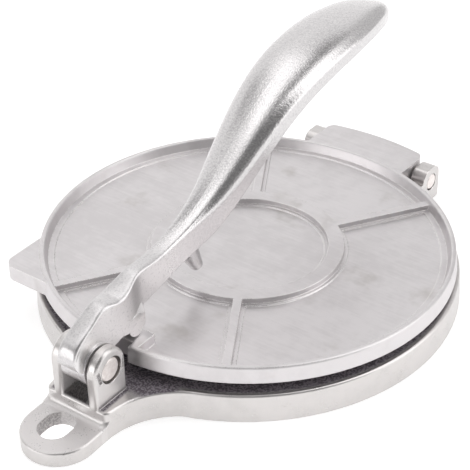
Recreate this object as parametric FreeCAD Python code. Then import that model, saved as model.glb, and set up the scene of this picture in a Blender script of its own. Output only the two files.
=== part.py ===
"""A cast-aluminium tortilla press: base, hinged upper plate, lever handle and two steel pins.

Millimetres, +Z up. The origin is on the table, under the centre of the round plates.
The handle's pivot and the hang eye are at the front (-Y), the plate's hinge is at the back (+Y).
Every piece is built in the pose that the press stands in: the plate lies open by rest_tilt
and the handle lies back over it, with its foot just above the plate's pad.
"""
import FreeCAD, Part
import math
import os

V = FreeCAD.Vector
X_AXIS = V(1, 0, 0)
Z_AXIS = V(0, 0, 1)

# Shared clearances
overrun = 1.0                    # how far a cutting tool runs past what it cuts
weld = 0.6                       # how deep one lump of a casting is sunk into another
running_clearance = 0.06         # radial, of each turning bore on its pin
staked_clearance = 0.07          # left between a staked pin and the side of its hole

# The round plates
plate_radius = 100.0             # of the upper plate, at its rim
plate_draft = 0.8                # how much wider its lower edge is
base_margin = 2.2                # how far the base stands out past the upper plate
base_draft = 0.8

# Base casting: disc, skirt and the ribs under it
base_height = 13.9
base_web = 5.0
skirt_wall = 4.5
base_edge_round = 1.2
base_rib_width = 4.0
base_hub_radius = 11.0

# Base casting: neck, step and hang eye
eye_radius = 17.2
eye_from_pivot = 21.4            # from the handle's pivot out to the middle of the eye
eye_height = 7.2
eye_edge_round = 1.0
neck_blend_radius = 37.0
neck_corner_round = 3.4          # upright corners of the step in front of the ears
step_foot_round = 3.2            # hollow round between the step and the flat eye
eye_hole_radius = 7.3
eye_hole_stretch = 3.4           # how far apart the hole's two round ends are
eye_hole_shift = -1.6            # the cored hole sits off the eye's middle

# Base casting: clevis that carries the handle
pivot_from_disc = 15.4           # from the disc's top edge out to the pivot
pivot_rise = 16.4                # the pivot's height over the disc's top
knuckle_width = 13.2
knuckle_side_gap = 0.4           # between the knuckle and each ear
clevis_ear_thickness = 5.7
clevis_ear_radius = 10.1
clevis_hole_radius = 6.5
clevis_hole_back = 0.72          # the holes sit behind and below the pin
clevis_hole_down = 0.52
clevis_edge_round = 1.8
pocket_lip = 1.6
pocket_length = 24.0
stake_mark_length = 7.0
stake_mark_width = 1.8
stake_mark_depth = 0.7
stake_mark_gap = 1.3             # from the rim of the hole to the mark
stake_mark_lean = 12.0           # degrees

# Base casting: the two ears of the plate's hinge
hinge_from_disc = 10.8           # from the disc's top edge out to the hinge pin
hinge_drop = 2.0                 # the hinge pin's depth under the disc's top
lug_half_width = 28.6
lug_side_gap = 1.0               # between the lug and each ear
hinge_ear_thickness = 7.6
hinge_ear_front = 8.2            # from the pin's centre to the ear's front face
hinge_ear_back = 7.4
hinge_ear_top = 7.9
hinge_ear_round = 5.4
hinge_ear_overlap = 12.2         # how far the ears' brackets run in under the disc

# Pins
handle_pin_radius = 5.5
hinge_pin_radius = 4.3
hinge_hole_radius = 4.7
pin_end_round = 0.6

# Upper casting, in the closed pose
plate_gap = 0.35                 # over the disc
plate_thickness = 8.65
plate_edge_round = 1.0
plate_foot_bevel = 0.8
tray_depth = 5.15
rim_width = 2.6
rim_inner_round = 0.5
tray_wall_draft = 1.5
step_height = 0.55               # low ledge round the foot of each raised part
step_slope = 0.3
rim_ledge = 2.9
rib_ledge = 1.5
ring_inner_radius = 39.0
ring_width = 7.6
raised_height = 2.95             # of the ring and the ribs, over the tray floor
raised_draft = 0.35
rib_width = 4.0
right_rib_angle = 33.0
left_rib_angle = 30.0
tab_side_inset = 17.6            # the finger tab's sides, in from the rim's extremes
tab_front_inset = 16.6
tab_drop = 1.0
tab_corner_radius = 6.5
pad_half_width = 11.0
pad_length = 10.5
notch_half_width = 7.2
notch_depth = 4.0
lug_tail = 8.0                   # how far the lug runs on behind the hinge pin
lug_barrel_radius = 8.0
lug_corner_radius = 4.5
lug_edge_round = 4.2
lug_drop = 0.4
rest_tilt = 1.44                 # degrees that the plate stands open

# Handle: the run is measured from its pivot to its tip, level with the table
handle_run = 234.9
handle_rise = 81.6
grip_width = 36.8
arm_depth = 17.0
knuckle_radius = 10.0
foot_width = 12.2
foot_top_width = 8.6
foot_radius = 5.5
foot_root_height = 8.0
foot_clearance = 0.6
peg_root_run = 68.8
peg_root_height = 21.2
peg_tilt = 26.6
peg_length = 20.6
peg_root_radius = 5.9
peg_tip_radius = 3.2
peg_tip_round = 1.6
dish_wall = 4.4
dish_depth = 3.6

# Each row is one upright section of the handle: how far along the run it lies, how high its
# top is as a share of the rise, its depth as a share of the arm's, its width as a share of
# the grip's, how wide its shoulders are as a share of its foot, how full they are (0.55 is an
# ellipse, 1 a sharp corner), and how high up the section its straight sides end.
handle_section_shares = [
    (-0.0570, 0.120, 0.180, 0.262, 0.90, 0.80, 0.50),
    (-0.0500, 0.160, 0.600, 0.335, 0.80, 0.86, 0.62),
    (-0.0330, 0.198, 0.910, 0.356, 0.72, 0.92, 0.88),
    (0.0000, 0.242, 1.150, 0.358, 0.69, 0.94, 0.93),
    (0.0350, 0.288, 1.230, 0.352, 0.67, 0.94, 0.93),
    (0.0560, 0.288, 1.180, 0.345, 0.80, 0.94, 0.93),
    (0.0730, 0.277, 1.100, 0.340, 0.90, 0.95, 0.93),
    (0.0930, 0.288, 1.200, 0.338, 0.92, 0.95, 0.93),
    (0.1080, 0.304, 1.120, 0.325, 0.86, 0.95, 0.93),
    (0.1330, 0.332, 1.040, 0.262, 0.84, 0.96, 0.93),
    (0.1880, 0.335, 0.865, 0.265, 0.80, 0.96, 0.92),
    (0.2430, 0.353, 0.765, 0.280, 0.83, 0.95, 0.88),
    (0.2940, 0.392, 0.790, 0.330, 0.90, 0.91, 0.78),
    (0.3500, 0.462, 0.900, 0.420, 0.97, 0.80, 0.62),
    (0.4130, 0.580, 0.940, 0.556, 1.00, 0.72, 0.53),
    (0.4770, 0.714, 0.880, 0.692, 1.00, 0.68, 0.47),
    (0.5620, 0.857, 0.760, 0.842, 1.00, 0.66, 0.44),
    (0.6470, 0.942, 0.660, 0.950, 1.00, 0.67, 0.43),
    (0.7320, 0.985, 0.610, 1.000, 1.00, 0.67, 0.42),
    (0.8170, 1.000, 0.570, 0.962, 1.00, 0.67, 0.42),
    (0.8900, 0.992, 0.540, 0.826, 1.00, 0.66, 0.42),
    (0.9420, 0.968, 0.500, 0.648, 1.00, 0.65, 0.44),
    (0.9750, 0.938, 0.430, 0.452, 1.00, 0.64, 0.46),
    (0.9930, 0.908, 0.320, 0.262, 1.00, 0.62, 0.48),
    (1.0000, 0.882, 0.160, 0.120, 1.00, 0.60, 0.50),
]
dish_start_share = 0.34          # the hollow under the grip follows the sections
dish_end_share = 0.95            # that lie between these two places along the run

# Places that follow from the sizes above
pivot_height = base_height + pivot_rise
hinge_height = base_height - hinge_drop
plate_bottom = base_height + plate_gap
plate_top = plate_bottom + plate_thickness
base_top_radius = plate_radius + base_margin
base_foot_radius = base_top_radius + base_draft
plate_foot_radius = plate_radius + plate_draft
pivot_y = -base_top_radius - pivot_from_disc
eye_y = pivot_y - eye_from_pivot
foot_y = -plate_radius + notch_depth + pad_length / 2
hinge_reach = base_top_radius + hinge_from_disc
clevis_gap = knuckle_width + 2 * knuckle_side_gap
hinge_ear_inside = lug_half_width + lug_side_gap
lug_back_radius = hinge_reach + lug_tail
ring_outer_radius = ring_inner_radius + ring_width
step_y = pivot_y - clevis_ear_radius
clevis_outside = clevis_gap / 2 + clevis_ear_thickness
hinge_ear_outside = hinge_ear_inside + hinge_ear_thickness
tray_floor = plate_top - tray_depth
ring_top = tray_floor + raised_height
HINGE = V(0, hinge_reach, hinge_height)


def box(x0, x1, y0, y1, z0, z1):
    return Part.makeBox(x1 - x0, y1 - y0, z1 - z0, V(x0, y0, z0))


def cylinder_x(radius, x0, x1, y, z):
    """A round bar along X."""
    return Part.makeCylinder(radius, x1 - x0, V(x0, y, z), X_AXIS)


def side_plate(edges, x0, x1):
    """A flat outline drawn in the YZ plane, made into a plate from x0 to x1."""
    face = Part.Face(Part.Wire(edges))
    face.translate(V(x0, 0, 0))
    return face.extrude(V(x1 - x0, 0, 0))


def outline(points):
    """Straight edges through the points and back to the first."""
    return [Part.LineSegment(a, b).toShape() for a, b in zip(points, points[1:] + points[:1])]


def turned(points):
    """A solid of revolution about Z from a closed outline of (radius, height) points."""
    face = Part.Face(Part.Wire(outline([V(r, 0, z) for r, z in points])))
    return face.revolve(V(0, 0, 0), Z_AXIS, 360)


def rounded(shape, radius, wanted):
    """Round every edge that the test accepts."""
    edges = [e for e in shape.Edges if wanted(e)]
    return shape.makeFillet(radius, edges) if edges else shape


def level_edge(edge, height, margin=overrun / 100):
    return all(abs(v.Z - height) < margin for v in edge.Vertexes)


def fused(first, *others):
    return first.fuse(list(others)).removeSplitter()


def single_solid(shape):
    """The one solid that a casting is, without its compound wrapper."""
    return shape.Solids[0] if len(shape.Solids) == 1 else shape


def plate_profile_corner(radius, height, size):
    """Two points that cut the outer top corner of a turned profile round enough to see."""
    lean = math.sqrt(2) / 2
    return [
        (radius, height - size),
        (radius - size * (1 - lean), height - size * (1 - lean)),
        (radius - size, height),
    ]


# Base casting

def base_ribs():
    """A cross of ribs and a hub under the disc, level with the skirt's foot."""
    reach = base_foot_radius - skirt_wall + weld
    top = base_height - base_web + weld
    half = base_rib_width / 2
    along_x = box(-reach, reach, -half, half, 0, top)
    along_y = box(-half, half, -reach, reach, 0, top)
    return fused(Part.makeCylinder(base_hub_radius, top), along_x, along_y)


def neck_outline():
    """The tongue from the disc to the eye: hollow blends, straight sides, round end."""
    centre_x = eye_radius + neck_blend_radius
    reach = base_top_radius + neck_blend_radius
    centre_y = -math.sqrt(reach ** 2 - centre_x ** 2)
    tangent = base_top_radius / reach
    on_disc = (centre_x * tangent, centre_y * tangent)
    turn = math.atan2(on_disc[1] - centre_y, on_disc[0] - centre_x)
    middle = (turn + math.pi) / 2
    mid = (centre_x + neck_blend_radius * math.cos(middle),
           centre_y + neck_blend_radius * math.sin(middle))
    side_y = min(centre_y, 0)

    def p(x, y):
        return V(x, y, 0)

    blend_right = Part.Arc(p(*on_disc), p(*mid), p(eye_radius, side_y)).toShape()
    blend_left = Part.Arc(p(-eye_radius, side_y), p(-mid[0], mid[1]), p(-on_disc[0], on_disc[1])).toShape()
    right = Part.LineSegment(p(eye_radius, side_y), p(eye_radius, eye_y)).toShape()
    end = Part.Arc(p(eye_radius, eye_y), p(0, eye_y - eye_radius), p(-eye_radius, eye_y)).toShape()
    left = Part.LineSegment(p(-eye_radius, eye_y), p(-eye_radius, side_y)).toShape()
    inside = base_foot_radius - skirt_wall / 2
    back = [p(-on_disc[0], on_disc[1]), p(-on_disc[0] * inside / base_top_radius, -inside / 2),
            p(on_disc[0] * inside / base_top_radius, -inside / 2), p(*on_disc)]
    closing = [Part.LineSegment(a, b).toShape() for a, b in zip(back, back[1:])]
    return Part.Face(Part.Wire([blend_right, right, end, left, blend_left] + closing))


def step_foot():
    """The hollow round between the step and the flat eye, turned about the step's corners."""
    centre = step_y + neck_corner_round
    reach = step_y - step_foot_round
    rise = eye_height + step_foot_round
    lean = step_foot_round * math.sqrt(2) / 2
    edges = [
        Part.LineSegment(V(0, centre, 0), V(0, reach, 0)).toShape(),
        Part.LineSegment(V(0, reach, 0), V(0, reach, eye_height)).toShape(),
        Part.Arc(V(0, reach, eye_height), V(0, reach + lean, rise - lean), V(0, step_y, rise)).toShape(),
        Part.LineSegment(V(0, step_y, rise), V(0, centre, rise)).toShape(),
        Part.LineSegment(V(0, centre, rise), V(0, centre, 0)).toShape(),
    ]
    half = eye_radius - neck_corner_round
    corners = []
    for x in (-half, half):
        section = Part.Face(Part.Wire(edges))
        section.translate(V(x, 0, 0))
        corners.append(section.revolve(V(x, centre, 0), Z_AXIS, 360))
    return fused(side_plate(edges, -half, half), *corners)


def disc_and_neck():
    """The round disc, hollow underneath, and the neck as high as it, with the flat eye in front."""
    face = neck_outline()
    whole = face.extrude(V(0, 0, base_height))
    front = box(-base_foot_radius, base_foot_radius, eye_y - 2 * eye_radius, step_y,
                -overrun, base_height + overrun)
    neck = rounded(whole.cut(front), neck_corner_round,
                   lambda e: e.BoundBox.ZLength > eye_height and abs(e.CenterOfMass.y - step_y) < overrun)
    disc = Part.makeCone(base_foot_radius, base_top_radius, base_height)
    body = rounded(fused(disc, neck), base_edge_round, lambda e: level_edge(e, base_height))
    eye = rounded(face.extrude(V(0, 0, eye_height)), eye_edge_round,
                  lambda e: level_edge(e, eye_height) and e.CenterOfMass.y < -base_top_radius)
    body = fused(body, eye, step_foot().common(whole))
    inside = base_foot_radius - skirt_wall
    return body.cut(Part.makeCylinder(inside, base_height - base_web + overrun, V(0, 0, -overrun)))


def eye_hole():
    height = base_height + 2 * overrun
    parts = []
    for side in (-1, 1):
        centre = V(eye_hole_shift, eye_y + side * eye_hole_stretch / 2, -overrun)
        parts.append(Part.makeCylinder(eye_hole_radius, height, centre))
    middle = box(eye_hole_shift - eye_hole_radius, eye_hole_shift + eye_hole_radius,
                 eye_y - eye_hole_stretch / 2, eye_y + eye_hole_stretch / 2,
                 -overrun, height - overrun)
    return fused(parts[0], parts[1], middle)


def clevis_ear(side):
    """One upright ear with a round head, about the handle's pivot."""
    front = pivot_y - clevis_ear_radius
    back = pivot_y + clevis_ear_radius
    foot = eye_height
    x0 = side * clevis_gap / 2
    x1 = side * clevis_outside
    edges = [
        Part.LineSegment(V(0, back, foot), V(0, back, pivot_height)).toShape(),
        Part.Arc(V(0, back, pivot_height), V(0, pivot_y, pivot_height + clevis_ear_radius),
                 V(0, front, pivot_height)).toShape(),
        Part.LineSegment(V(0, front, pivot_height), V(0, front, foot)).toShape(),
        Part.LineSegment(V(0, front, foot), V(0, back, foot)).toShape(),
    ]
    ear = side_plate(edges, min(x0, x1), max(x0, x1))
    return rounded(ear, clevis_edge_round,
                   lambda e: e.CenterOfMass.z > foot + overrun and e.BoundBox.XLength < overrun)


def stake_marks(side):
    """Two shallow chisel marks beside the pin, on the outside of an ear."""
    marks = []
    face = side * clevis_outside
    reach = clevis_hole_radius + stake_mark_gap
    for way in (-1, 1):
        mark = box(-stake_mark_depth, stake_mark_depth, -stake_mark_width / 2, stake_mark_width / 2,
                   -stake_mark_length / 2, stake_mark_length / 2)
        mark.rotate(V(0, 0, 0), X_AXIS, -way * stake_mark_lean)
        mark.translate(V(face, pivot_y + clevis_hole_back + way * reach, pivot_height - clevis_hole_down))
        marks.append(mark)
    return marks


def hinge_ear(side):
    """One upright ear of the rear hinge, on a bracket that grows out of the disc."""
    x0 = side * hinge_ear_inside
    x1 = side * hinge_ear_outside
    left, right = min(x0, x1), max(x0, x1)
    front = hinge_reach - hinge_ear_front
    back = hinge_reach + hinge_ear_back
    top = hinge_height + hinge_ear_top
    bracket = box(left, right, base_top_radius - hinge_ear_overlap, back, 0, base_height)
    head = box(left, right, front, back, 0, top)
    head = rounded(head, hinge_ear_round,
                   lambda e: level_edge(e, top) and e.BoundBox.XLength > hinge_ear_thickness / 2)
    inside = Part.makeCylinder(base_foot_radius - skirt_wall, base_height + 2 * overrun, V(0, 0, -overrun))
    ear = fused(bracket.cut(inside), head)
    return ear


def base_plate():
    body = fused(disc_and_neck(), base_ribs(), clevis_ear(-1), clevis_ear(1),
                 hinge_ear(-1), hinge_ear(1))
    pocket = box(-clevis_gap / 2, clevis_gap / 2, step_y + pocket_lip, step_y + pocket_length,
                 -overrun, pivot_height + clevis_ear_radius)
    cuts = [pocket, eye_hole(),
            cylinder_x(clevis_hole_radius, -clevis_outside - overrun, clevis_outside + overrun,
                       pivot_y + clevis_hole_back, pivot_height - clevis_hole_down),
            cylinder_x(hinge_hole_radius, -hinge_ear_outside - overrun, hinge_ear_outside + overrun,
                       hinge_reach, hinge_height - (hinge_hole_radius - hinge_pin_radius - staked_clearance))]
    for side in (-1, 1):
        cuts.extend(stake_marks(side))
    return single_solid(body.cut(cuts).removeSplitter())


# Pins

def pin(radius, half_length, y, z):
    body = cylinder_x(radius, -half_length, half_length, y, z)
    return body.makeChamfer(pin_end_round, [e for e in body.Edges if e.BoundBox.XLength < overrun])


def handle_pin():
    return single_solid(pin(handle_pin_radius, clevis_outside, pivot_y, pivot_height))


def hinge_pin():
    return single_solid(pin(hinge_pin_radius, hinge_ear_outside, hinge_reach, hinge_height))


# Upper casting

def tray():
    """The round plate with its rim, low ledge and raised ring, turned in one outline."""
    wall_top = plate_radius - rim_width
    wall_foot = wall_top - tray_wall_draft
    ledge = tray_floor + step_height
    rim_ledge_edge = wall_foot - rim_ledge
    ring_out = ring_outer_radius + raised_draft
    ring_in = ring_inner_radius - raised_draft
    return turned([
        (0, plate_bottom),
        (plate_foot_radius - plate_foot_bevel, plate_bottom),
        (plate_foot_radius, plate_bottom + plate_foot_bevel),
        *plate_profile_corner(plate_radius, plate_top, plate_edge_round),
        (wall_top + rim_inner_round, plate_top),
        (wall_top, plate_top - rim_inner_round),
        (wall_foot, ledge),
        (rim_ledge_edge, ledge),
        (rim_ledge_edge - step_slope, tray_floor),
        (ring_out + rib_ledge + step_slope, tray_floor),
        (ring_out + rib_ledge, ledge),
        (ring_out, ledge),
        (ring_outer_radius, ring_top),
        (ring_inner_radius, ring_top),
        (ring_in, ledge),
        (ring_in - rib_ledge, ledge),
        (ring_in - rib_ledge - step_slope, tray_floor),
        (0, tray_floor),
    ])


def tray_rib(angle):
    """One raised rib from the ring to the rim, with the low ledge round its foot."""
    inner = (ring_inner_radius + ring_outer_radius) / 2
    outer = plate_radius - rim_width - tray_wall_draft / 2
    half = rib_width / 2
    foot_half = half + raised_draft
    section = [V(-foot_half, inner, tray_floor - weld), V(foot_half, inner, tray_floor - weld),
               V(half, inner, ring_top), V(-half, inner, ring_top)]
    rib = Part.Face(Part.Wire(outline(section))).extrude(V(0, outer - inner, 0))
    ledge = box(-foot_half - rib_ledge, foot_half + rib_ledge, inner, outer,
                tray_floor - weld, tray_floor + step_height)
    rib = fused(rib, ledge)
    rib.rotate(V(0, 0, 0), Z_AXIS, -angle)
    return rib


def finger_tab():
    """A square corner with a round tip that sticks out of the rim at the front left."""
    side = tab_side_inset - plate_radius
    front = tab_front_inset - plate_radius
    tip = box(side, 0, front, 0, plate_bottom, plate_top - tab_drop)
    corner = [e for e in tip.Edges if abs(e.CenterOfMass.x - side) < overrun
              and abs(e.CenterOfMass.y - front) < overrun]
    tip = tip.makeFillet(tab_corner_radius, corner)
    inside = Part.makeCylinder(plate_radius - rim_width / 2, plate_top, V(0, 0, 0))
    return tip.cut(inside)


def hinge_lug():
    """The wide lug behind the rim, with a barrel round the hinge pin."""
    top = plate_top - lug_drop
    start = plate_radius - rim_width
    root = math.sqrt(start ** 2 - lug_half_width ** 2) - weld
    slab = box(-lug_half_width, lug_half_width, root, lug_back_radius, plate_bottom, top)
    back = box(-lug_half_width, lug_half_width, hinge_reach, lug_back_radius, hinge_height, top)
    barrel = cylinder_x(lug_barrel_radius, -lug_half_width, lug_half_width, hinge_reach, hinge_height)
    fill = box(-lug_half_width, lug_half_width, hinge_reach - lug_barrel_radius, hinge_reach,
               hinge_height, plate_bottom + weld)
    lug = fused(slab, back, barrel, fill)
    rounded_back = Part.makeCylinder(lug_back_radius, plate_top + overrun, V(0, 0, -overrun))
    lug = lug.common(rounded_back)
    tray_space = Part.makeCylinder(start + rim_width / 2, plate_top + overrun)
    lug = lug.cut(tray_space)
    ends = [e for e in lug.Edges if e.BoundBox.XLength < overrun / 10 and e.BoundBox.YLength < overrun / 10
            and e.CenterOfMass.y > hinge_reach and e.CenterOfMass.z > hinge_height]
    return lug.makeFillet(lug_corner_radius, ends) if ends else lug


def upper_plate():
    notch = box(-notch_half_width, notch_half_width, -plate_foot_radius - overrun,
                -plate_radius + notch_depth, plate_bottom - overrun, plate_top + overrun)
    pad = box(-pad_half_width, pad_half_width, -plate_radius + rim_width / 2,
              -plate_radius + notch_depth + pad_length, tray_floor - weld, plate_top)
    pad = pad.common(Part.makeCylinder(plate_radius - rim_width / 2, plate_top))
    ribs = [tray_rib(a) for a in (right_rib_angle, right_rib_angle + 180,
                                  -left_rib_angle, 180 - left_rib_angle)]
    body = fused(tray(), pad, finger_tab(), hinge_lug(), *ribs)
    bore = cylinder_x(hinge_pin_radius + running_clearance, -lug_half_width - overrun,
                      lug_half_width + overrun, hinge_reach, hinge_height)
    body = single_solid(body.cut([notch, bore]).removeSplitter())
    body.rotate(HINGE, X_AXIS, -rest_tilt)
    return body


# Handle

def section_sizes(row):
    run, top, depth, width, lean, fullness, shoulder = row
    y = pivot_y + run * handle_run
    crown = pivot_height + top * handle_rise
    foot = crown - depth * arm_depth
    half = width * grip_width / 2
    return y, crown, foot, half, half * lean, fullness, foot + (crown - foot) * shoulder


def section_wire(y, crown, foot, half, top_half, fullness, shoulder):
    """An upright section: flat bottom, straight sides with some draft and a crowned top."""
    edges = [Part.LineSegment(V(-half, y, foot), V(half, y, foot)).toShape(),
             Part.LineSegment(V(half, y, foot), V(top_half, y, shoulder)).toShape()]
    for side in (1, -1):
        poles = [V(side * top_half, y, shoulder),
                 V(side * top_half, y, shoulder + (crown - shoulder) * fullness),
                 V(side * top_half * fullness, y, crown),
                 V(0, y, crown)]
        curve = Part.BezierCurve()
        curve.setPoles(poles if side > 0 else poles[::-1])
        edges.append(curve.toShape())
    edges.append(Part.LineSegment(V(-top_half, y, shoulder), V(-half, y, foot)).toShape())
    return Part.Wire(edges)


def lever():
    """The arm and grip, lofted through the sections."""
    wires = [section_wire(*section_sizes(row)) for row in handle_section_shares]
    return Part.makeLoft(wires, True, False)


def grip_dish():
    """The shallow hollow under the grip."""
    rows = [row for row in handle_section_shares if dish_start_share < row[0] < dish_end_share]
    wires = []
    for row in rows:
        y, crown, foot, half, *rest = section_sizes(row)
        half -= dish_wall
        corners = [V(-half, y, foot - overrun), V(half, y, foot - overrun),
                   V(half, y, foot + dish_depth), V(-half, y, foot + dish_depth)]
        wires.append(Part.Wire(outline(corners)))
    return Part.makeLoft(wires, True, False)


def pad_top_height(y):
    """How high the pad stands at a place along Y, with the plate open by rest_tilt."""
    tilt = math.radians(rest_tilt)
    return hinge_height + (plate_top - hinge_height) / math.cos(tilt) + (hinge_reach - y) * math.tan(tilt)


def handle_foot():
    """The round-nosed foot that presses on the plate's pad."""
    y = foot_y
    bottom = pad_top_height(y) + foot_clearance / math.cos(math.radians(rest_tilt))
    top = pivot_height + foot_root_height
    half = foot_width / 2
    top_half = foot_top_width / 2
    front = y - foot_radius
    nose = cylinder_x(foot_radius, -half, half, y, bottom + foot_radius)
    sides = [V(half, front, bottom + foot_radius), V(half, front, top),
             V(top_half, front, top + foot_radius), V(-top_half, front, top + foot_radius),
             V(-half, front, top), V(-half, front, bottom + foot_radius)]
    stem = Part.Face(Part.Wire(outline(sides))).extrude(V(0, 2 * foot_radius, 0))
    return fused(nose, stem)


def stop_peg():
    """The tapered peg under the arm that stops on the tray floor."""
    straight = peg_length - peg_tip_round
    cone = Part.makeCone(peg_root_radius, peg_tip_radius, straight)
    tip = Part.makeCone(peg_tip_radius, peg_tip_radius / 2, peg_tip_round, V(0, 0, straight))
    peg = fused(cone, tip)
    peg.rotate(V(0, 0, 0), X_AXIS, 180 + peg_tilt)
    peg.translate(V(0, pivot_y + peg_root_run, pivot_height + peg_root_height))
    return peg


def handle():
    half = knuckle_width / 2
    knuckle = cylinder_x(knuckle_radius, -half, half, pivot_y, pivot_height)
    body = lever().fuse([knuckle, handle_foot(), stop_peg()]).removeSplitter()
    bore = cylinder_x(handle_pin_radius + running_clearance, -half - overrun, half + overrun,
                      pivot_y, pivot_height)
    return single_solid(body.cut([bore, grip_dish()]))


def main():
    os.makedirs("parts", exist_ok=True)
    pieces = {
        "base_plate": base_plate(),
        "upper_plate": upper_plate(),
        "handle": handle(),
        "handle_pin": handle_pin(),
        "hinge_pin": hinge_pin(),
    }
    for name, shape in pieces.items():
        shape.exportStep("parts/%s.step" % name)
        box_ = shape.BoundBox
        print("%-12s %8.1f mm3  %s  x %.1f..%.1f  y %.1f..%.1f  z %.1f..%.1f" % (
            name, shape.Volume, "valid" if shape.isValid() else "NOT VALID",
            box_.XMin, box_.XMax, box_.YMin, box_.YMax, box_.ZMin, box_.ZMax))


main()
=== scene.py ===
"""A tortilla press in satin cast aluminium, on a pale studio floor."""
import math

import bpy
from mathutils import Matrix, Vector

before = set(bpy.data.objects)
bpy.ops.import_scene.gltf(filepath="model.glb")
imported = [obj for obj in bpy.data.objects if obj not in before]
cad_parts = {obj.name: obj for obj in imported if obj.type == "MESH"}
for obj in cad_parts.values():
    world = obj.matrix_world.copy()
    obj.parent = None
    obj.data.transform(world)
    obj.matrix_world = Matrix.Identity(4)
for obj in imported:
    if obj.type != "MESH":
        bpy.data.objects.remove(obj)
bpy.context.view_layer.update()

MM = 0.001

# Places on the press that the finishes follow, in metres
EYE_HOLE = (-1.6 * MM, -139.0 * MM)        # x and y of the middle of the eye's hole
HANDLE_PIN = (-116.9 * MM, 29.8 * MM)      # y and z of the handle's pin
BASE_TOP = (13.2 * MM, 13.6 * MM)          # heights between which the base's top face starts
ABOVE_BASE_TOP = (14.5 * MM, 15.0 * MM)    # heights between which it has ended
UNDER_PLATE_FRONT = -90.0 * MM             # y at which the neck has run in under the plate

# Colours of the metal

BASE_LIGHT, BASE_DARK = (0.68, 0.655, 0.645, 1.0), (0.60, 0.58, 0.572, 1.0)
UPPER_LIGHT, UPPER_DARK = (0.73, 0.705, 0.712, 1.0), (0.64, 0.616, 0.622, 1.0)
# edge colour: wear, made lighter as a painted highlight
RUBBED_EDGE_HIGHLIGHT = (0.92, 0.90, 0.89, 1.0)
STAIN = (0.42, 0.39, 0.36, 1.0)
# painted shade on the base's top face under the upper plate
SHADED_TOP_DARK, SHADED_TOP_LIGHT = (0.105, 0.088, 0.106, 1.0), (0.29, 0.262, 0.288, 1.0)
# painted shade in the eye's hole and the pocket, also the colour of the stake marks
SHADE_AND_MARK_DARK, SHADE_AND_MARK_LIGHT = (0.27, 0.255, 0.255, 1.0), (0.50, 0.475, 0.475, 1.0)
# painted light: paler tone on the eye's top, the step's round and the ears' sides
LIT_EYE_TOP = (0.76, 0.73, 0.73, 1.0)
LIT_STEP_AND_EAR = (0.76, 0.735, 0.73, 1.0)
GRIP_DARK, GRIP_LIGHT = (0.60, 0.585, 0.59, 1.0), (0.70, 0.685, 0.685, 1.0)
# painted highlight on the arm's flanks
ARM_FLANK_HIGHLIGHT = (0.90, 0.885, 0.88, 1.0)
# painted shade in the hollow behind the foot
ARM_HOLLOW_SHADE = (0.42, 0.41, 0.41, 1.0)
PORE = (0.36, 0.35, 0.36, 1.0)
PIN_DARK, PIN_LIGHT = (0.86, 0.79, 0.765, 1.0), (0.97, 0.91, 0.885, 1.0)
FLOOR = (0.80, 0.80, 0.80, 1.0)
BLACK, WHITE = (0.0, 0.0, 0.0, 1.0), (1.0, 1.0, 1.0, 1.0)


# Shader maths

class Field:
    """A number or colour that changes over a surface, with arithmetic."""

    def __init__(self, wiring, socket):
        self.wiring = wiring
        self.socket = socket

    def __add__(self, other):
        return self.wiring.maths("ADD", self, other)

    def __sub__(self, other):
        return self.wiring.maths("SUBTRACT", self, other)

    def __rsub__(self, other):
        return self.wiring.maths("SUBTRACT", other, self)

    def __mul__(self, other):
        return self.wiring.maths("MULTIPLY", self, other)

    def __truediv__(self, other):
        return self.wiring.maths("DIVIDE", self, other)

    __radd__ = __add__
    __rmul__ = __mul__

    def __abs__(self):
        return self.wiring.maths("ABSOLUTE", self, 0.0)

    def ramp(self, low, high):
        """0 below low, 1 above high, smooth between."""
        return self.wiring.node("ShaderNodeMapRange", {"interpolation_type": "SMOOTHSTEP"},
                                {"Value": self, "From Min": low, "From Max": high})

    def below(self, low, high):
        """1 below low, 0 above high, smooth between."""
        return 1 - self.ramp(low, high)

    def span(self, low, high, soft):
        """1 between low and high, 0 outside, soft at both ends."""
        return self.ramp(low - soft, low + soft) * self.below(high - soft, high + soft)


class Wiring:
    """A node tree that is built by plain calls."""

    def __init__(self, tree):
        self.tree = tree
        tree.nodes.clear()

    def node(self, kind, settings=None, inputs=None, output=None):
        """Add a node, set it up, fill or link its inputs and give the output that is asked for."""
        made = self.tree.nodes.new(kind)
        for name, value in (settings or {}).items():
            setattr(made, name, value)
        for name, value in (inputs or {}).items():
            found = [s for s in made.inputs if s.identifier == name] or [made.inputs[name]]
            if isinstance(value, Field):
                self.tree.links.new(value.socket, found[0])
            else:
                found[0].default_value = value
        if output:
            chosen = [s for s in made.outputs if s.identifier == output] or [made.outputs[output]]
            return Field(self, chosen[0])
        return Field(self, made.outputs[0]) if len(made.outputs) else made

    def maths(self, operation, a, b):
        return self.node("ShaderNodeMath", {"operation": operation}, {"Value": a, "Value_001": b})

    def either(self, first, *others):
        """The largest of several masks."""
        for other in others:
            first = self.maths("MAXIMUM", first, other)
        return first

    def distance(self, a, b):
        """How long the line is whose run along two axes is a and b."""
        return self.maths("SQRT", a * a + b * b, 0.0)

    def axes(self, vector):
        split = self.tree.nodes.new("ShaderNodeSeparateXYZ")
        self.tree.links.new(vector.socket, split.inputs[0])
        return [Field(self, out) for out in split.outputs]


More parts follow.
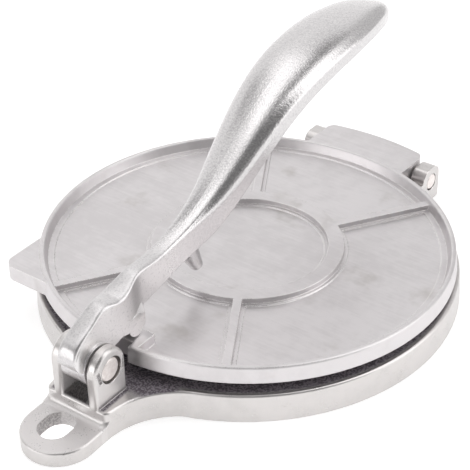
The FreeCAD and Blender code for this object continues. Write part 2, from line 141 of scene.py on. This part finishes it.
class Finish(Wiring):
    """One procedural material on Object coordinates."""

    def __init__(self, name):
        self.material = bpy.data.materials.new(name)
        self.material.use_nodes = True
        super().__init__(self.material.node_tree)
        self.place = self.node("ShaderNodeTexCoord", output="Object")
        self.x, self.y, self.z = self.axes(self.place)

    def stretched(self, stretch, turn=0.0):
        """Object coordinates pulled out along some axes, then turned about Z."""
        return self.node("ShaderNodeMapping", None,
                         {"Vector": self.place, "Scale": stretch, "Rotation": (0.0, 0.0, turn)})

    def noise(self, per_metre, detail=2.0, roughness=0.5, place=None):
        return self.node("ShaderNodeTexNoise", None,
                         {"Vector": place or self.place, "Scale": per_metre, "Detail": detail,
                          "Roughness": roughness}, output="Fac")

    def blend(self, share, a, b):
        return self.node("ShaderNodeMix", {"data_type": "RGBA"},
                         {"Factor_Float": share, "A_Color": a, "B_Color": b}, output="Result_Color")

    def facing(self, axis):
        """How far the surface looks along one of the object's own axes."""
        return self.axes(self.node("ShaderNodeTexCoord", output="Normal"))["xyz".index(axis)]

    def from_eye(self):
        """How far a point lies from the upright axis of the eye's hole."""
        return self.distance(self.x - EYE_HOLE[0], self.y - EYE_HOLE[1])

    def metal(self, colour, rough, height, depth, edge, edge_wear_highlight=0.0, metallic=1.0):
        """Close the material: metal with rounded edges, smoother there from wear and lighter there
        from a painted highlight, and a fine relief.
        """
        round_edge = self.node("ShaderNodeBevel", {"samples": 6}, {"Radius": edge})
        if edge_wear_highlight:
            flat = self.node("ShaderNodeNewGeometry", output="Normal")
            turn = self.node("ShaderNodeVectorMath", {"operation": "DOT_PRODUCT"},
                             {"Vector": round_edge, "Vector_001": flat}, output="Value")
            # the edges get less roughness from wear and a lighter colour as a painted highlight
            rubbed_and_highlit = (1 - turn).ramp(0.004, 0.07) * edge_wear_highlight
            colour = self.blend(rubbed_and_highlit, colour, RUBBED_EDGE_HIGHLIGHT)
            rough = rough - rubbed_and_highlit * 0.12
        relief = self.node("ShaderNodeBump", None,
                           {"Height": height, "Distance": depth, "Strength": 1.0,
                            "Normal": round_edge})
        shader = self.node("ShaderNodeBsdfPrincipled", None,
                           {"Base Color": colour, "Metallic": metallic, "Roughness": rough,
                            "Normal": relief})
        self.node("ShaderNodeOutputMaterial", None, {"Surface": shader})
        return self.material


# Finishes

def painted_shade_and_marks(f, up):
    """Where the base is painted darker, and made rougher and duller.

    The first mask is its top face round the plate, painted shade under the upper plate. The second
    is the walls of the eye's hole and of the pocket under the knuckle, painted shade in those
    recesses, and the chisel marks beside the handle's pin.
    """
    x, y, z = f.x, f.y, f.z
    beside = abs(x)
    disc_edge = 99.0 * MM, 101.3 * MM
    neck_side, neck_front = (14.0 * MM, 15.6 * MM), -126.6 * MM
    flare_side, flare_front = (30.0 * MM, 36.0 * MM), -110.0 * MM
    round_plate = f.distance(x, y).below(*disc_edge)
    on_neck = beside.below(*neck_side) * y.span(neck_front, UNDER_PLATE_FRONT, 1.0 * MM)
    by_neck = beside.below(*flare_side) * y.span(flare_front, UNDER_PLATE_FRONT, 3.0 * MM)
    # painted shade: the base's top face round the plate and by the neck lies in the shade under the
    # upper plate
    top = z.ramp(*BASE_TOP) * z.below(*ABOVE_BASE_TOP) * up
    top = top * f.either(round_plate, on_neck, by_neck)

    upright = abs(f.facing("z")).below(0.3, 0.6)
    hole_wall = 9.6 * MM, 10.4 * MM
    pocket_side, pocket_top = (7.3 * MM, 7.6 * MM), (12.6 * MM, 13.6 * MM)
    pocket_front, pocket_back = -126.4 * MM, -103.2 * MM
    # painted shade on the walls of the eye's hole and of the pocket; the marks below are real stake
    # marks
    eye = f.from_eye().below(*hole_wall) * upright
    pocket = beside.below(*pocket_side) * y.span(pocket_front, pocket_back, 0.2 * MM)
    pocket = pocket * z.below(*pocket_top) * upright

    mark_floor, ear_face = 11.4 * MM, 12.55 * MM
    mark_inner, mark_outer = 6.6 * MM, 8.9 * MM
    from_pin = f.distance(y - HANDLE_PIN[0], z - HANDLE_PIN[1])
    marks = beside.span(mark_floor, ear_face, 0.06 * MM)
    marks = marks * from_pin.span(mark_inner, mark_outer, 0.1 * MM)
    return top, f.either(eye * 0.95, pocket, marks)


def painted_pale_light(f, up, shade_and_marks):
    """Painted light: where the base is paler and less of a mirror, on the eye's top, the step's
    round and the ears' sides.
    """
    eye_back, eye_level = (-129.0 * MM, -126.0 * MM), (7.6 * MM, 8.4 * MM)
    step_front, step_back, step_level = -131.5 * MM, -127.5 * MM, (12.6 * MM, 13.4 * MM)
    ear_foot, ear_back = (14.5 * MM, 16.0 * MM), (-100.0 * MM, -98.0 * MM)
    eye_top = f.y.below(*eye_back) * f.z.below(*eye_level) * up
    step_round = f.y.span(step_front, step_back, 0.6 * MM) * f.z.below(*step_level)
    ear_side = abs(f.facing("x")).ramp(0.75, 0.95) * f.z.ramp(*ear_foot)
    ear_side = ear_side * f.y.below(*ear_back) * (1 - shade_and_marks)
    return eye_top, f.either(step_round * 0.5, ear_side * 0.6)


def cast_aluminium(name, light, dark, rough=0.30, stain_share=0.6, painted_light_and_marks=False, metallic=1.0):
    """Tumbled sand casting: cloudy tone, fine tooth, faint rubbing lines and a few dull stains."""
    f = Finish(name)
    up = f.facing("z").ramp(0.6, 0.9)
    cloud = f.noise(per_metre=16.0, detail=3.0)
    mottle = f.noise(per_metre=120.0, detail=3.0, roughness=0.6)
    tooth = f.noise(per_metre=1500.0, roughness=0.6)
    lines = f.noise(per_metre=60.0, place=f.stretched((1.0, 12.0, 1.0), turn=0.6))
    lines = lines * up + (1 - up) * 0.5
    stain = f.noise(per_metre=38.0, detail=4.0, roughness=0.6).ramp(0.58, 0.76) * stain_share
    tone = cloud * 0.45 + mottle * 0.35 + lines * 0.20
    colour = f.blend(tone.ramp(0.38, 0.62), dark, light)
    colour = f.blend(stain * 0.4, colour, STAIN)
    roughness = rough + (mottle - 0.5) * 0.12 + (tooth - 0.5) * 0.12 + stain * 0.08
    # painted shade on the base's top and in the hole and pocket, painted light on the eye, step and
    # ears, and the stake marks
    if painted_light_and_marks:
        top, shade_and_marks = painted_shade_and_marks(f, up)
        eye_top, pale = painted_pale_light(f, up, shade_and_marks)
        speck = f.noise(per_metre=1100.0, detail=1.0).ramp(0.40, 0.62)
        # painted shade on the base's top face
        colour = f.blend(top, colour, f.blend(speck, SHADED_TOP_DARK, SHADED_TOP_LIGHT))
        # painted shade in the hole and pocket, and the stake marks' own colour
        colour = f.blend(shade_and_marks, colour, f.blend(speck, SHADE_AND_MARK_DARK, SHADE_AND_MARK_LIGHT))
        # painted light on the eye's top, the step's round and the ears' sides
        colour = f.blend(eye_top * 0.6, colour, LIT_EYE_TOP)
        colour = f.blend(pale, colour, LIT_STEP_AND_EAR)
        roughness = roughness + f.either(top, shade_and_marks) * 0.25
        metallic = 1 - f.either(top * 0.85, shade_and_marks * 0.8, eye_top * 0.65, pale)
    relief = tooth * 0.5 + mottle * 0.35 + lines * 0.15
    return f.metal(colour, roughness, relief, depth=0.05 * MM, edge=0.6 * MM, edge_wear_highlight=0.7,
                   metallic=metallic)


def grainy_handle(name):
    """Casting that is polished on the grip, with an open grain that sparkles, and satin on the
    arm, with a painted highlight on its flanks and painted shade in the hollow behind the foot."""
    f = Finish(name)
    grip_start = -74.0 * MM, -44.0 * MM
    hollow_front, hollow_back, hollow_foot = -92.0 * MM, -85.5 * MM, (36.0 * MM, 39.0 * MM)
    polish = f.y.ramp(*grip_start)
    sideways = abs(f.facing("x"))
    grain = f.noise(per_metre=1300.0, roughness=0.65)
    swell = f.noise(per_metre=45.0)
    pores = f.noise(per_metre=900.0, detail=1.0).ramp(0.60, 0.70)
    # painted highlight: the arm's sides that face along x are paler
    flank = sideways.ramp(0.75, 0.95) * (1 - polish)
    # painted shade in the hollow between the arm's side and the foot
    hollow = f.y.span(hollow_front, hollow_back, 2.8 * MM) * f.z.ramp(*hollow_foot)
    hollow = hollow * sideways.ramp(0.5, 0.8)
    colour = f.blend(grain.ramp(0.35, 0.65), GRIP_DARK, GRIP_LIGHT)
    colour = f.blend(flank * 0.6, colour, ARM_FLANK_HIGHLIGHT)
    colour = f.blend(hollow * 0.6, colour, ARM_HOLLOW_SHADE)
    colour = f.blend(pores * 0.25, colour, PORE)
    roughness = 0.32 - polish * 0.15 + (grain - 0.5) * 0.20 + (swell - 0.5) * 0.06
    relief = (grain * 0.8 + swell * 0.2) * (0.5 + polish * 0.5)
    return f.metal(colour, roughness, relief, depth=0.10 * MM, edge=0.3 * MM)


def pin_steel(name):
    """Staked steel: dull, mottled and slightly warm, with faint streaks across its height."""
    f = Finish(name)
    dull = f.noise(per_metre=600.0, detail=3.0, roughness=0.6)
    streak = f.noise(per_metre=90.0, place=f.stretched((1.0, 1.0, 9.0)))
    colour = f.blend(dull.ramp(0.35, 0.65), PIN_DARK, PIN_LIGHT)
    roughness = 0.34 + (dull - 0.5) * 0.16 + (streak - 0.5) * 0.08
    return f.metal(colour, roughness, dull, depth=0.03 * MM, edge=0.4 * MM, metallic=0.45)


def dress(node, material):
    """Give a CAD node its finish."""
    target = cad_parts[node]
    target.data.materials.clear()
    target.data.materials.append(material)


# Studio

def studio_world():
    """A soft tent: an overhead light with darker patches, panels at the sides and a dark front.

    The patches are painted one over the other. Those of the ceiling lie one metre up and give
    brightness, the span across (left to right, slanted), the span along (front to back) and
    softness. Those of the walls give brightness, bearings in degrees and heights.
    """
    world = bpy.data.worlds.new("studio_light")
    world.use_nodes = True
    w = Wiring(world.node_tree)
    x, y, z = w.axes(w.node("ShaderNodeTexCoord", output="Generated"))
    lowest = 0.04
    height = w.maths("MAXIMUM", z, lowest)
    across, along = x / height, y / height
    slanted = across + along * 0.35
    bearing = w.maths("ARCTAN2", y, x) * math.degrees(1.0)
    level = 1.15 - z.ramp(0.10, 0.42) * 0.12
    endless = 90.0
    ceiling = (
        (0.70, -0.05, endless, 0.85, endless, 0.15),
        (0.64, -1.15, -0.52, -0.28, 0.40, 0.12),
        (0.45, -endless, 0.0, -endless, -0.80, 0.20),
        (0.24, -0.12, endless, -endless, -0.14, 0.10),
        (0.34, -0.26, 0.12, -0.30, 0.95, 0.10),
        (1.80, 0.10, 3.0, -0.06, 0.68, 0.08),
        (1.80, -0.56, -0.20, -0.38, 0.62, 0.12),
    )
    for bright, left, right, front, back, soft in ceiling:
        # the patches that reach far to the right and start in front lean back as they go right
        leaning = right > 1.0 and front < 0.0
        tilted = along - across * 0.22 if leaning else along
        held = slanted.span(left, right, soft) * tilted.span(front, back, soft)
        level = level + (bright - level) * held
    walls = (
        (0.45, -85.0, 0.0, -2.0, 0.33),
        (1.80, 8.0, 50.0, -2.0, 0.70),
        (2.20, -140.0, -88.0, -2.0, 0.40),
    )
    bearing_softness, height_softness = 5.0, 0.06
    for bright, start, end, low, high in walls:
        held = bearing.span(start, end, bearing_softness) * z.span(low, high, height_softness)
        level = level + (bright - level) * held
    sky = w.node("ShaderNodeBackground", None,
                 {"Color": (1.0, 0.995, 0.995, 1.0), "Strength": level})
    w.node("ShaderNodeOutputWorld", None, {"Surface": sky})
    bpy.context.scene.world = world


def studio_floor():
    """A pale floor that gives a little light, more below the eye's hole and none below the base."""
    half, drop = 6.0, 0.2 * MM
    corners = [(-half, -half, 0), (half, -half, 0), (half, half, 0), (-half, half, 0)]
    mesh = bpy.data.meshes.new("studio_floor")
    mesh.from_pydata(corners, [], [(0, 1, 2, 3)])
    floor = bpy.data.objects.new("studio_floor", mesh)
    bpy.context.scene.collection.objects.link(floor)
    floor.location.z = -drop
    paint = Finish("pale_floor")
    under_disc = paint.distance(paint.x, paint.y).below(95.0 * MM, 98.0 * MM)
    under_neck = abs(paint.x).below(12.0 * MM, 15.0 * MM) \
        * paint.y.span(-127.0 * MM, UNDER_PLATE_FRONT, 1.5 * MM)
    glow = paint.from_eye().below(13.0 * MM, 16.0 * MM) * 0.5 + 0.50
    surface = {"Base Color": FLOOR, "Roughness": 0.9}
    lit = paint.node("ShaderNodeBsdfPrincipled", None,
                     dict(surface, **{"Emission Color": paint.blend(glow, BLACK, WHITE),
                                      "Emission Strength": 1.0}))
    unlit = paint.node("ShaderNodeBsdfPrincipled", None, surface)
    mixed = paint.node("ShaderNodeMixShader", None,
                       {"Fac": paint.either(under_disc, under_neck), "Shader": lit,
                        "Shader_001": unlit})
    paint.node("ShaderNodeOutputMaterial", None, {"Surface": mixed})
    floor.data.materials.append(paint.material)


def studio_camera():
    """The photograph's long lens, a little above the press and off its front right corner."""
    azimuth, elevation, roll = (math.radians(a) for a in (36.70, 34.76, -1.26))
    target = Vector((-28.81, 28.83, 0.0)) * MM
    distance = 791.1 * MM
    back = Vector((math.sin(azimuth) * math.cos(elevation),
                   -math.cos(azimuth) * math.cos(elevation),
                   math.sin(elevation)))
    level = Vector((math.cos(azimuth), math.sin(azimuth), 0.0))
    above = back.cross(level)
    right = math.cos(roll) * level + math.sin(roll) * above
    up = -math.sin(roll) * level + math.cos(roll) * above
    turned = Matrix((right, up, back)).transposed().to_4x4()
    data = bpy.data.cameras.new("studio_camera")
    data.sensor_width = 36.0
    data.lens = 118.3
    data.clip_start = 0.01
    camera = bpy.data.objects.new("studio_camera", data)
    camera.matrix_world = Matrix.Translation(target + back * distance) @ turned
    bpy.context.scene.collection.objects.link(camera)
    bpy.context.scene.camera = camera


dress("base_plate", cast_aluminium("base_casting_satin", BASE_LIGHT, BASE_DARK, painted_light_and_marks=True))
dress("upper_plate", cast_aluminium("upper_casting_satin", UPPER_LIGHT, UPPER_DARK,
                                    rough=0.36, stain_share=1.0, metallic=0.8))
dress("handle", grainy_handle("handle_grain"))
dress("handle_pin", pin_steel("handle_pin_steel"))
dress("hinge_pin", pin_steel("hinge_pin_steel"))

studio_world()
studio_floor()
studio_camera()
bpy.context.scene.view_settings.view_transform = "Standard"
